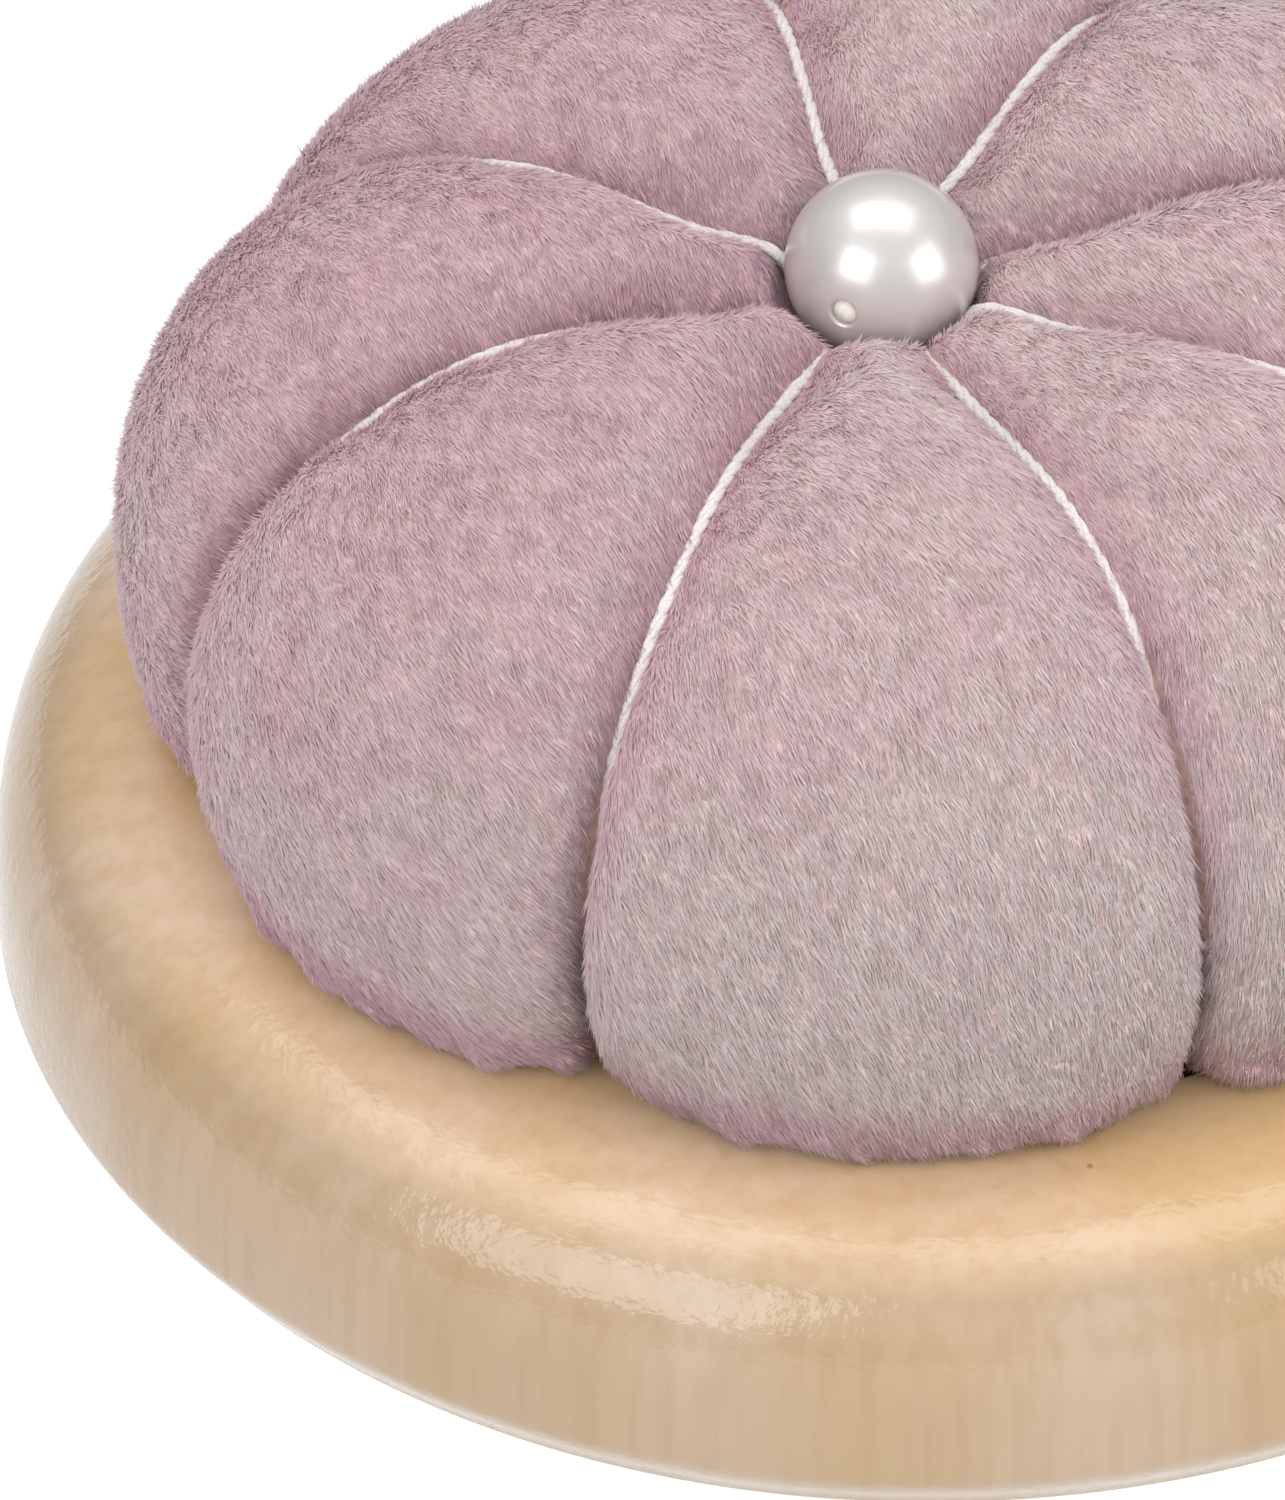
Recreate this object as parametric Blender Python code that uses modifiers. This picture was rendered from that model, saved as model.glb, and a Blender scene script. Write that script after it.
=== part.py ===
"""Pin cushion: a plush cushion, drawn into lobes by a wound thread, in a turned wooden dish.

Metres, +Z up. The origin is on the dish's underside, on the axis that everything is turned about,
and the middle of one lobe faces -Y.

Most of the object is turned about Z, so shapes are written as sections: lists of (radius, height).
The cushion's section comes in two versions, one along the crest of a lobe and one along the bottom
of a groove. Its pieces are spun from the crest and then drawn in towards the groove.
"""

import math

import bmesh
import bpy
from mathutils import Vector

# Dish
BASE_RADIUS = 0.0430  # widest circle
BASE_HEIGHT = 0.0138  # underside to the top of the rim
BASE_WAIST_HEIGHT = 0.0030  # height of the widest circle
FOOT_INSET = 0.0020  # how far the side draws in from the widest circle to the foot
FOOT_ROUNDING = 0.0006
SIDE_POWER = 1.5  # 1 for a straight side below the widest circle, more for a rounder one
SHOULDER_WIDTH = 0.0042  # how far the rounded shoulder reaches in over the rim
RIM_WIDTH = 0.0130  # widest circle to the mouth of the recess
RECESS_DEPTH = 0.0055
MOUTH_ROUNDING = 0.0004

# Cushion
LOBES = 8
CUSHION_HEIGHT = 0.0272  # rim to the crest of a lobe
CUSHION_WAIST = 0.0095  # rim to the cushion's widest circle
CUSHION_BULGE = 0.0046  # how far the widest circle overhangs the circle it rests on
HEM_OVERLAP = 0.0020  # how far the cushion rests on the rim beyond the recess
CREST_SHARE = 0.49  # radius of the ring of crests, as a share of the cushion's radius
DIMPLE_FULLNESS = 1.8  # power of the curve from the dimple up to the crest
GROOVE_DEPTH = 0.0030
GROOVE_LIFT = 0.0021  # how far the thread holds the hem up off the rim at a groove
GROOVE_TUCK = 0.0060  # how far in under the hem a groove's side curves before it heads for the middle
GROOVE_END = 0.7  # share of the way in underneath at which the groove has run out
COVER_THICKNESS = 0.0012
GATHER_RADIUS = 0.0043  # opening left where the cover's edge is drawn together underneath
DIP_WIDTH = 0.0050  # how far in the cushion curves down from the rim to its flat underside

# Threads, glue and bead
THREAD_DIAMETER = 0.0007
GATHER_THREAD_DIAMETER = 0.0005
STITCH_DIAMETER = 0.0002
GLUE_THICKNESS = 0.0010
GLUE_RADIUS = 0.0200
BEAD_DIAMETER = 0.0088
BEAD_HOLE_DIAMETER = 0.0012
BEAD_SINK = 0.0034  # crest of a lobe down to the bead's centre
HOLE_BEARING = math.radians(253)  # where the bead's hole faces, seen from above, from +X
HOLE_TILT = math.radians(16)  # how far that end of the hole points up

GAP = 0.0003  # clearance between pieces that touch

# How finely the shapes are divided
DISH_STEPS = 80
LOBE_STEPS = 6
DIMPLE_STEPS = 6
OVER_STEPS = 6
HEM_STEPS = 4
DIP_STEPS = 3
FLOOR_STEPS = 3
THREAD_SIDES = 2  # bevel resolution, which gives a tube of eight sides

# Heights and radii that follow from the sizes above
recess_radius = BASE_RADIUS - RIM_WIDTH
recess_floor = BASE_HEIGHT - RECESS_DEPTH
rest_radius = recess_radius + HEM_OVERLAP
rest_height = BASE_HEIGHT + GAP
cushion_radius = rest_radius + CUSHION_BULGE
waist_height = BASE_HEIGHT + CUSHION_WAIST
crest_height = BASE_HEIGHT + CUSHION_HEIGHT
crest_radius = CREST_SHARE * cushion_radius
dip_radius = recess_radius - 2 * GAP - DIP_WIDTH  # where the cushion's flat underside begins
glue_top = recess_floor + GAP + GLUE_THICKNESS
cushion_floor = glue_top + GAP + THREAD_DIAMETER + GAP
bead_height = crest_height - BEAD_SINK
# The stack under the bead: its own half, its stitch and the winding thread, each with its clearance.
seat_radius = BEAD_DIAMETER / 2 + STITCH_DIAMETER + THREAD_DIAMETER + 3 * GAP
dimple_height = bead_height - seat_radius
# The strands that climb the middle stand in a ring, just clear of each other.
strand_radius = (THREAD_DIAMETER + GAP) / (2 * math.sin(math.pi / LOBES))
channel_radius = strand_radius + THREAD_DIAMETER / 2 + GAP
opening_radius = channel_radius + GAP


def arc(centre, reach, start, stop, steps):
    """Points on an ellipse's arc, from one angle to another in degrees, with both ends."""
    points = []
    for step in range(steps + 1):
        angle = math.radians(start + (stop - start) * step / steps)
        points.append((centre[0] + reach[0] * math.cos(angle), centre[1] + reach[1] * math.sin(angle)))
    return points


def dimple_section(groove_depth):
    """The cushion's outside from the opening at the top out to the crest, kept clear of the bead's seat."""
    points = []
    for step in range(DIMPLE_STEPS):
        share = (step / DIMPLE_STEPS) ** 1.5
        radius = opening_radius + share * (crest_radius - opening_radius)
        rise = (1 - (1 - share) ** 2) ** (1 / DIMPLE_FULLNESS)
        sunk = groove_depth * smooth_step(seat_radius, crest_radius, radius)
        height = dimple_height + rise * (crest_height - dimple_height) - sunk
        from_bead = math.hypot(radius, height - bead_height)
        if from_bead < seat_radius:
            radius *= seat_radius / from_bead
            height = bead_height + (height - bead_height) * seat_radius / from_bead
        points.append((radius, height))
    return points


def smooth_step(start, stop, value):
    """0 before start, 1 after stop, and a smooth rise between them."""
    share = min(1.0, max(0.0, (value - start) / (stop - start)))
    return share * share * (3 - 2 * share)


def crest_section():
    """The cushion's outside along the crest of a lobe: over the top, down the side and in underneath."""
    reach = (cushion_radius - crest_radius, crest_height - waist_height)
    over = arc((crest_radius, waist_height), reach, 90, 0, OVER_STEPS)
    hem = (CUSHION_BULGE, waist_height - rest_height)
    under = arc((rest_radius, waist_height), hem, 0, -90, HEM_STEPS)
    dip = arc((dip_radius, rest_height), (DIP_WIDTH, rest_height - cushion_floor), 0, -90, DIP_STEPS)
    inwards = []
    for step in range(1, FLOOR_STEPS + 1):
        share = step / FLOOR_STEPS
        inwards.append((dip_radius + share * (GATHER_RADIUS - dip_radius), cushion_floor))
    return dimple_section(0) + over + under[1:] + dip + inwards


def groove_section():
    """The cushion's outside along the bottom of a groove, point for point with the crest's section."""
    reach = (cushion_radius - crest_radius - GROOVE_DEPTH, crest_height - waist_height - GROOVE_DEPTH)
    over = arc((crest_radius, waist_height), reach, 90, 0, OVER_STEPS)
    tuck_radius = rest_radius - GROOVE_TUCK
    lifted = rest_height + GROOVE_LIFT
    hem = (cushion_radius - GROOVE_DEPTH - tuck_radius, waist_height - lifted)
    under = arc((tuck_radius, waist_height), hem, 0, -90, HEM_STEPS)
    inwards = []
    inward_steps = DIP_STEPS + 1 + FLOOR_STEPS
    for step in range(1, inward_steps + 1):
        share = step / inward_steps
        radius = tuck_radius + share * (GATHER_RADIUS - tuck_radius)
        inwards.append((radius, lifted + (cushion_floor - lifted) * smooth_step(0, GROOVE_END, share)))
    return dimple_section(GROOVE_DEPTH) + over + under[1:] + inwards


def normals(section):
    """The direction out of the cushion at each point of a section."""
    found = []
    for before, after in zip(section[:1] + section[:-1], section[1:] + section[-1:]):
        along = Vector((after[0] - before[0], after[1] - before[1])).normalized()
        found.append(Vector((-along.y, along.x)))
    return found


def moved(section, distances):
    """The section with each point moved along its normal, outwards where the distance is positive."""
    return [
        (point[0] + normal.x * distance, point[1] + normal.y * distance)
        for point, normal, distance in zip(section, normals(section), distances)
    ]


def lobe_fullness(step):
    """How far out a lobe stands at this step across it: 0 in the grooves, 1 on the crest."""
    across = 2 * (step % LOBE_STEPS) / LOBE_STEPS - 1
    return math.sqrt(1 - across * across)


def cushion_sections(inset):
    """The crest's and the groove's sections of the cushion's outside, or of a layer this far inside it."""
    return [moved(section, [-inset] * len(section)) for section in (crest_section(), groove_section())]


def add_object(name, data, collection, material):
    obj = bpy.data.objects.new(name, data)
    collection.objects.link(obj)
    data.materials.append(material)
    return obj


def shade_round(mesh, angle=40):
    mesh.shade_smooth()
    mesh.set_sharp_from_angle(angle=math.radians(angle))


def turned(name, section, steps, collection, material):
    """A body of revolution: a section that runs down its outer side, with a Screw modifier."""
    mesh = bpy.data.meshes.new(name)
    bm = bmesh.new()
    points = [bm.verts.new((radius, 0, height)) for radius, height in section]
    for start, end in zip(points, points[1:]):
        bm.edges.new((start, end))
    bm.to_mesh(mesh)
    bm.free()
    obj = add_object(name, mesh, collection, material)
    screw = obj.modifiers.new("turn", "SCREW")
    screw.steps = screw.render_steps = steps
    screw.use_merge_vertices = True
    screw.merge_threshold = 0.00001
    screw.use_smooth_shade = True
    return obj


def lobed(name, crest, groove, collection, material):
    """A ring spun from a closed section, then drawn in between the lobes."""
    steps = LOBES * LOBE_STEPS
    bm = bmesh.new()
    station = bm.verts.layers.int.new("station")
    points = []
    for index, (radius, height) in enumerate(crest):
        point = bm.verts.new((radius, 0, height))
        point[station] = index
        points.append(point)
    edges = [bm.edges.new((a, b)) for a, b in zip(points, points[1:] + points[:1])]
    bmesh.ops.spin(
        bm, geom=points + edges, cent=(0, 0, 0), axis=(0, 0, 1), dvec=(0, 0, 0),
        angle=math.tau, steps=steps, use_merge=True, use_duplicate=False,
    )
    half_lobe = math.pi / LOBES
    for point in bm.verts:
        angle = math.atan2(point.co.y, point.co.x)
        share = lobe_fullness(round(angle / math.tau * steps))
        outer, inner = crest[point[station]], groove[point[station]]
        radius = inner[0] + share * (outer[0] - inner[0])
        height = inner[1] + share * (outer[1] - inner[1])
        # The spin starts in a groove, and a groove lies half a lobe round from +X.
        bearing = angle + half_lobe
        point.co = (radius * math.cos(bearing), radius * math.sin(bearing), height)
    bmesh.ops.recalc_face_normals(bm, faces=bm.faces)
    # The faces beside a groove are twisted: the same split on every layer keeps the layers apart.
    bmesh.ops.triangulate(bm, faces=bm.faces, quad_method="SHORT_EDGE")
    mesh = bpy.data.meshes.new(name)
    bm.to_mesh(mesh)
    bm.free()
    shade_round(mesh, 60)
    return add_object(name, mesh, collection, material)


def tube(name, points, diameter, collection, material, closed=False):
    """A thread that follows these points."""
    curve = bpy.data.curves.new(name, "CURVE")
    curve.dimensions = "3D"
    curve.bevel_depth = diameter / 2
    curve.bevel_resolution = THREAD_SIDES
    curve.use_fill_caps = not closed
    spline = curve.splines.new("POLY")
    spline.points.add(len(points) - 1)
    for place, point in zip(spline.points, points):
        place.co = (*point, 1)
    spline.use_cyclic_u = closed
    spline.use_smooth = True
    return add_object(name, curve, collection, material)


def round_point(radius, bearing, height):
    return (radius * math.cos(bearing), radius * math.sin(bearing), height)


def material(name, hex_colour, roughness, metallic=0.0):
    """A plain Principled material from an sRGB colour."""
    made = bpy.data.materials.new(name)
    made.use_nodes = True
    channels = [int(hex_colour[i : i + 2], 16) / 255 for i in (0, 2, 4)]
    linear = [c / 12.92 if c <= 0.04045 else ((c + 0.055) / 1.055) ** 2.4 for c in channels]
    shader = made.node_tree.nodes["Principled BSDF"]
    shader.inputs["Base Color"].default_value = (*linear, 1)
    shader.inputs["Roughness"].default_value = roughness
    shader.inputs["Metallic"].default_value = metallic
    made.diffuse_color = (*linear, 1)
    return made


def wooden_base(parts):
    """Turned dish: recess, rim, rounded shoulder, side drawn in to the foot, flat underside."""
    foot_radius = BASE_RADIUS - FOOT_INSET
    mouth = (recess_radius + MOUTH_ROUNDING, BASE_HEIGHT - MOUTH_ROUNDING)
    shoulder = (BASE_RADIUS - SHOULDER_WIDTH, BASE_WAIST_HEIGHT)
    shoulder_reach = (SHOULDER_WIDTH, BASE_HEIGHT - BASE_WAIST_HEIGHT)
    section = [(0, recess_floor), (recess_radius, recess_floor)]
    section += arc(mouth, (MOUTH_ROUNDING, MOUTH_ROUNDING), 180, 90, 2)
    section += arc(shoulder, shoulder_reach, 90, 0, 9)
    side_steps = 4
    for step in range(1, side_steps):
        share = step / side_steps
        height = BASE_WAIST_HEIGHT + share * (FOOT_ROUNDING - BASE_WAIST_HEIGHT)
        section.append((BASE_RADIUS - FOOT_INSET * share**SIDE_POWER, height))
    foot = (foot_radius - FOOT_ROUNDING, FOOT_ROUNDING)
    section += arc(foot, (FOOT_ROUNDING, FOOT_ROUNDING), -30, -90, 2)
    section.append((0, 0))
    wood = material("lacquered_birch", "D9BE99", 0.3)
    return turned("wooden_base", section, DISH_STEPS, parts, wood)


def glue_bed(parts):
    """Pad of hot-melt glue on the floor of the recess, with a rounded edge."""
    bottom = recess_floor + GAP
    radius = min(GLUE_RADIUS, recess_radius - GAP)
    half = GLUE_THICKNESS / 2
    section = [(0, glue_top)] + arc((radius - half, bottom + half), (half, half), 90, -90, 4) + [(0, bottom)]
    return turned("glue_bed", section, DISH_STEPS // 2, parts, material("hot_melt_glue", "E8E2D0", 0.4))


def cushion_cover(parts):
    """Plush cover: outside and inside, joined round the openings at the top and underneath."""
    crest, groove = cushion_sections(0)
    inner_crest, inner_groove = cushion_sections(COVER_THICKNESS)
    plush = material("plush", "C9AEB4", 0.9)
    return lobed("cushion_cover", crest + inner_crest[::-1], groove + inner_groove[::-1], parts, plush)


def stuffing(parts):
    """Fibre filling: the cover's inside less a clearance, with the threads' channel down the middle."""
    crest, groove = cushion_sections(COVER_THICKNESS + GAP)
    top = (channel_radius, crest[0][1])
    bottom = (channel_radius, crest[-1][1])
    fibre = material("polyester_fibre", "F2F0EC", 0.95)
    return lobed("stuffing", crest + [bottom, top], groove + [bottom, top], parts, fibre)


def thread_route():
    """The thread's centre along a groove: (radius, height), from the dimple round to the underside.

    It lies on the groove's two walls, so it stands higher above the bottom of a narrow groove.
    """
    crest, groove = cushion_sections(0)
    first_step = lobe_fullness(1)
    rises = []
    for outer, inner, normal in zip(crest, groove, normals(groove)):
        depth = max(0.0, (Vector(outer) - Vector(inner)).dot(normal))
        width = inner[0] * math.tau / (LOBES * LOBE_STEPS)
        wall = math.atan2(first_step * depth, width)
        rises.append((THREAD_DIAMETER / 2 + GAP) / math.cos(wall))
    return moved(groove, rises)


def winding_thread(parts):
    """One thread: up the middle, over the top, down a groove, back underneath, once for every lobe."""
    route = thread_route()
    pitch = math.tau / LOBES
    top_height, bottom_height = route[0][1], route[-1][1]
    mid_top = (opening_radius + strand_radius) / 2
    points = []
    for lobe in range(LOBES):
        groove_bearing = (lobe + 0.5) * pitch
        strand_bearing = groove_bearing - pitch / 2
        points.append(round_point(strand_radius, strand_bearing, cushion_floor + THREAD_DIAMETER))
        points.append(round_point(strand_radius, strand_bearing, dimple_height - THREAD_DIAMETER))
        points.append(round_point(mid_top, groove_bearing - pitch / 4, top_height))
        points += [round_point(radius, groove_bearing, height) for radius, height in route]
        if lobe < LOBES - 1:
            points.append(round_point(2 * strand_radius, groove_bearing + pitch / 8, bottom_height))
    cotton = material("cotton_thread", "ECE8E4", 0.8)
    return tube("winding_thread", points, THREAD_DIAMETER, parts, cotton)


def gathering_stitch(parts):
    """Thread that holds the cover's edge drawn together, in the mouth of the opening underneath."""
    radius = GATHER_RADIUS - GAP - GATHER_THREAD_DIAMETER / 2
    height = cushion_floor + COVER_THICKNESS / 2
    steps = 6 * LOBES
    ring = [round_point(radius, math.tau * step / steps, height) for step in range(steps)]
    cotton = material("gathering_thread", "D8C8CA", 0.8)
    return tube("gathering_stitch", ring, GATHER_THREAD_DIAMETER, parts, cotton, closed=True)


def pearl_bead(parts, cutters):
    """Round bead with a hole drilled through it, turned so that the hole faces the front."""
    mesh = bpy.data.meshes.new("pearl_bead")
    bm = bmesh.new()
    bmesh.ops.create_uvsphere(bm, u_segments=40, v_segments=20, radius=BEAD_DIAMETER / 2)
    bm.to_mesh(mesh)
    bm.free()
    shade_round(mesh)
    bead = add_object("pearl_bead", mesh, parts, material("pearl_coat", "E2DFDC", 0.2))
    drill_mesh = bpy.data.meshes.new("bead_drill")
    bm = bmesh.new()
    bmesh.ops.create_cone(
        bm, cap_ends=True, segments=20, radius1=BEAD_HOLE_DIAMETER / 2,
        radius2=BEAD_HOLE_DIAMETER / 2, depth=1.5 * BEAD_DIAMETER,
    )
    bm.to_mesh(drill_mesh)
    bm.free()
    drill = bpy.data.objects.new("bead_drill", drill_mesh)
    cutters.objects.link(drill)
    drill.hide_render = True
    drill.display_type = "WIRE"
    for obj in (bead, drill):
        obj.location = (0, 0, bead_height)
    drill.rotation_euler = (0, math.pi / 2 - HOLE_TILT, HOLE_BEARING)
    cut = bead.modifiers.new("drill", "BOOLEAN")
    cut.operation = "DIFFERENCE"
    cut.object = drill
    return bead


def bead_stitch(parts):
    """Clear thread: up the middle, round the bead to its hole, through it and back, and tied below."""
    wrap_radius = BEAD_DIAMETER / 2 + GAP + STITCH_DIAMETER / 2
    strand = STITCH_DIAMETER / 2 + GAP / 2
    tip = math.degrees(HOLE_TILT)
    under = math.degrees(math.acos(strand / wrap_radius))
    centre = (0, bead_height)
    reach = (wrap_radius, wrap_radius)
    front = arc(centre, reach, -under, tip, 10)
    back = arc(centre, reach, 180 + tip, 180 + under, 8)
    tied_height = cushion_floor
    in_plane = [(strand, tied_height)] + front + back + [(-strand, tied_height)]
    across = (math.cos(HOLE_BEARING), math.sin(HOLE_BEARING))
    points = [(along * across[0], along * across[1], height) for along, height in in_plane]
    nylon = material("clear_nylon", "F4F4F4", 0.15)
    return tube("bead_stitch", points, STITCH_DIAMETER, parts, nylon, closed=True)


def main():
    for obj in list(bpy.data.objects):
        bpy.data.objects.remove(obj, do_unlink=True)
    parts = bpy.data.collections.new("pin_cushion")
    cutters = bpy.data.collections.new("cutters")
    for collection in (parts, cutters):
        bpy.context.scene.collection.children.link(collection)
    wooden_base(parts)
    glue_bed(parts)
    cushion_cover(parts)
    stuffing(parts)
    winding_thread(parts)
    gathering_stitch(parts)
    pearl_bead(parts, cutters)
    bead_stitch(parts)


main()
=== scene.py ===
# %% [markdown]
# # A plush pin cushion in a turned wooden dish
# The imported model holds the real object's pieces at their real sizes, as plain solids. This lesson
# gives them their looks: lacquered birch, a stuffed plush cushion with real pile, a twisted cotton
# thread wound round it, and an imitation pearl. Everything is in metres, with +Z up.

import math

import bmesh
import bpy
import numpy as np
from mathutils import Matrix, Quaternion, Vector, noise


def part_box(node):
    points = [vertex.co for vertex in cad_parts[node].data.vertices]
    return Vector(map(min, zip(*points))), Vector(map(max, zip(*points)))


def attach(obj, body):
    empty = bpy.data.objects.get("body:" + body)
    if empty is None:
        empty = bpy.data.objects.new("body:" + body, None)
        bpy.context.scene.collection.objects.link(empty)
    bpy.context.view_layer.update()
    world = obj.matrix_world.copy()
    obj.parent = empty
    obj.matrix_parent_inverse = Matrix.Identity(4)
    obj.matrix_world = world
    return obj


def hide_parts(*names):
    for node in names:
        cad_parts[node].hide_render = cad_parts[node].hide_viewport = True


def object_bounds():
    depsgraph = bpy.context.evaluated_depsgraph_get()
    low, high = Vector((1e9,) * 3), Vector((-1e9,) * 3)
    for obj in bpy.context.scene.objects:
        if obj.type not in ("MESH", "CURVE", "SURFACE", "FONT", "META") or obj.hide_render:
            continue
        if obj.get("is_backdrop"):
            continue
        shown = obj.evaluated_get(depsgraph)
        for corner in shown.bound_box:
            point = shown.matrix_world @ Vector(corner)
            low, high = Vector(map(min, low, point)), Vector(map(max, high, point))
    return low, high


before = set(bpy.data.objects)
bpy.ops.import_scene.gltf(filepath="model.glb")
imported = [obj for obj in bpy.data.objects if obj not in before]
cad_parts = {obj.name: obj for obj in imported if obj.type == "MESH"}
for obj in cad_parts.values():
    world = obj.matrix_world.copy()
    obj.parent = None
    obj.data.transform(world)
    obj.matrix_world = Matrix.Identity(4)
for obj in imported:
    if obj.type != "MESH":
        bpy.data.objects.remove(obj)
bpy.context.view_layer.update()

# %% [markdown]
# ## Sizes
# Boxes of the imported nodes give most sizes, so each piece lands where its solid is. The few that
# a box can't tell, such as the width of the dish's rim, are named here with the solid's values.

# %% Sizes from the frame, and those a box can't tell
MM = 0.001

dish_low, dish_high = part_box("wooden_base")
DISH_RADIUS = dish_high.x
RIM_HEIGHT = dish_high.z
glue_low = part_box("glue_bed")[0]
cover_low, cover_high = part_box("cushion_cover")
bead_low, bead_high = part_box("pearl_bead")

CLEARANCE = 0.3 * MM
BEAD_RADIUS = (bead_high.z - bead_low.z) / 2
BEAD_HEIGHT = (bead_high.z + bead_low.z) / 2
CREST_HEIGHT = cover_high.z
CUSHION_RADIUS = cover_high.x
CUSHION_FLOOR = cover_low.z
RECESS_FLOOR = glue_low.z - CLEARANCE

RIM_WIDTH = 13.0 * MM
WAIST_ABOVE_RIM = 9.5 * MM
BULGE = 4.6 * MM
LOBES = 8
RECESS_RADIUS = DISH_RADIUS - RIM_WIDTH
REST_RADIUS = CUSHION_RADIUS - BULGE + 0.9 * MM
WAIST_HEIGHT = RIM_HEIGHT + WAIST_ABOVE_RIM
print(f"dish {2000 * DISH_RADIUS:.1f} mm across, {1000 * RIM_HEIGHT:.1f} mm tall;",
      f"cushion {2000 * CUSHION_RADIUS:.1f} mm across, crest at {1000 * CREST_HEIGHT:.1f} mm")

# %% [markdown]
# ## Helpers
# Colours are easiest to judge as sRGB hex values, but shaders work in linear light, so one
# function converts them. One more function adds a node to any node tree with its links, its
# settings and, for a colour ramp, its stops, which keeps each material to a few readable lines.

# %% Colour and node helpers
def linear(hex_colour):
    """An sRGB hex colour as linear RGBA."""
    channels = [int(hex_colour[i : i + 2], 16) / 255 for i in (0, 2, 4)]
    return (*[c / 12.92 if c <= 0.04045 else ((c + 0.055) / 1.055) ** 2.4 for c in channels], 1.0)


def add(tree, kind, inputs=None, stops=(), **settings):
    """Adds a node. Inputs are values or sockets, stops a ramp's (place, hex colour) pairs."""
    made = tree.nodes.new(kind)
    for name, value in settings.items():
        setattr(made, name, value)
    for name, value in (inputs or {}).items():
        if isinstance(value, bpy.types.NodeSocket):
            tree.links.new(value, made.inputs[name])
        else:
            made.inputs[name].default_value = value
    if stops:
        elements = made.color_ramp.elements
        while len(elements) < len(stops):
            elements.new(0.5)
        for element, (place, hex_colour) in zip(elements, stops):
            element.position = place
            element.color = linear(hex_colour)
    return made


def new_material(name):
    """A material with its tree and its Principled shader."""
    made = bpy.data.materials.new(name)
    made.use_nodes = True
    return made, made.node_tree, made.node_tree.nodes["Principled BSDF"]


# %% [markdown]
# Many plain materials differ only in the size of a fine mottling, which shows in their colour and
# in their surface, and in how rough they are, so one function makes them all.

# %% Mottled material
def mottled(name, size, detail, stops, roughness, bump=0.0, distortion=0.0):
    """A material and its shader, with noise of a real size in its colour and its surface."""
    made, tree, shader = new_material(name)
    spots = add(tree, "ShaderNodeTexNoise",
                {"Vector": add(tree, "ShaderNodeTexCoord").outputs["Object"],
                 "Scale": 1 / size, "Detail": detail, "Distortion": distortion})
    colour = add(tree, "ShaderNodeValToRGB", {"Fac": spots.outputs["Fac"]}, stops)
    tree.links.new(colour.outputs["Color"], shader.inputs["Base Color"])
    if bump:
        rise = add(tree, "ShaderNodeBump", {"Height": spots.outputs["Fac"], "Distance": bump})
        tree.links.new(rise.outputs["Normal"], shader.inputs["Normal"])
    shader.inputs["Roughness"].default_value = roughness
    return made, shader


# %% [markdown]
# Every piece is made the same way: a bmesh becomes a mesh with its faces outwards, gets an object
# and a material, and is then tied to the imported model's one body; any solid it replaces is hidden.

# %% Piece helpers
def object_from(name, mesh, material):
    made = bpy.data.objects.new(name, mesh)
    bpy.context.scene.collection.objects.link(made)
    made.data.materials.clear()
    made.data.materials.append(material)
    return made


def mesh_from(name, bm, smooth_angle=60):
    """Ends a bmesh: faces outwards, smooth except at sharp edges."""
    bmesh.ops.recalc_face_normals(bm, faces=bm.faces)
    mesh = bpy.data.meshes.new(name)
    bm.to_mesh(mesh)
    bm.free()
    mesh.shade_smooth()
    mesh.set_sharp_from_angle(angle=math.radians(smooth_angle))
    return mesh


def finished(piece, slot, *nodes):
    """Rides the piece on the one body, hides the solids it replaces and prints its triangles."""
    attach(piece, "root")
    if nodes:
        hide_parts(*nodes)
    triangles = sum(len(face.vertices) - 2 for face in piece.data.polygons)
    print(f"{piece.name}: {triangles} triangles")


def evaluated_mesh(obj, name):
    """A copy of the object's mesh with its modifiers applied."""
    graph = bpy.context.evaluated_depsgraph_get()
    mesh = bpy.data.meshes.new_from_object(obj.evaluated_get(graph))
    mesh.name = name
    return mesh


# %% [markdown]
# Turned and sewn things are round, so their sections are arcs that are spun about an axis. A
# smooth step fades one form into another without a crease.

# %% Form helpers
def arc(centre, reach, start, stop, steps):
    """Points on an ellipse's arc, from one angle to another in degrees, with both ends."""
    points = []
    for step in range(steps + 1):
        angle = math.radians(start + (stop - start) * step / steps)
        points.append((centre[0] + reach[0] * math.cos(angle), centre[1] + reach[1] * math.sin(angle)))
    return points


def spun(section, steps):
    """A bmesh of revolution about Z from a section of (radius, height) points."""
    bm = bmesh.new()
    points = [bm.verts.new((radius, 0, height)) for radius, height in section]
    edges = [bm.edges.new(pair) for pair in zip(points, points[1:])]
    bmesh.ops.spin(bm, geom=points + edges, cent=(0, 0, 0), axis=(0, 0, 1), dvec=(0, 0, 0),
                   angle=math.tau, steps=steps, use_merge=True, use_duplicate=False)
    bmesh.ops.remove_doubles(bm, verts=bm.verts, dist=1e-6)
    return bm


def smooth_step(start, stop, values):
    """0 before start, 1 after stop, and a smooth rise between them, for one value or many."""
    share = np.clip((values - start) / (stop - start), 0, 1)
    return share * share * (3 - 2 * share)


# %% [markdown]
# ## Camera
# The camera looks down from the front with a long lens and aims to the left of the object, so
# the dish runs out of view on the right. Turning the camera instead of shifting the lens
# keeps every other view centred.

# %% Camera
CAMERA_ELEVATION = math.radians(38.8)
CAMERA_BEARING = math.radians(0.9)
CAMERA_DISTANCE = 0.70
CAMERA_ROLL = math.radians(-0.4)
AIM_HEIGHT = 7.5 * MM
AIM_LEFT = 13.0 * MM
AIM_UP = 1.9 * MM
LENS_MM = 362.7

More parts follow.
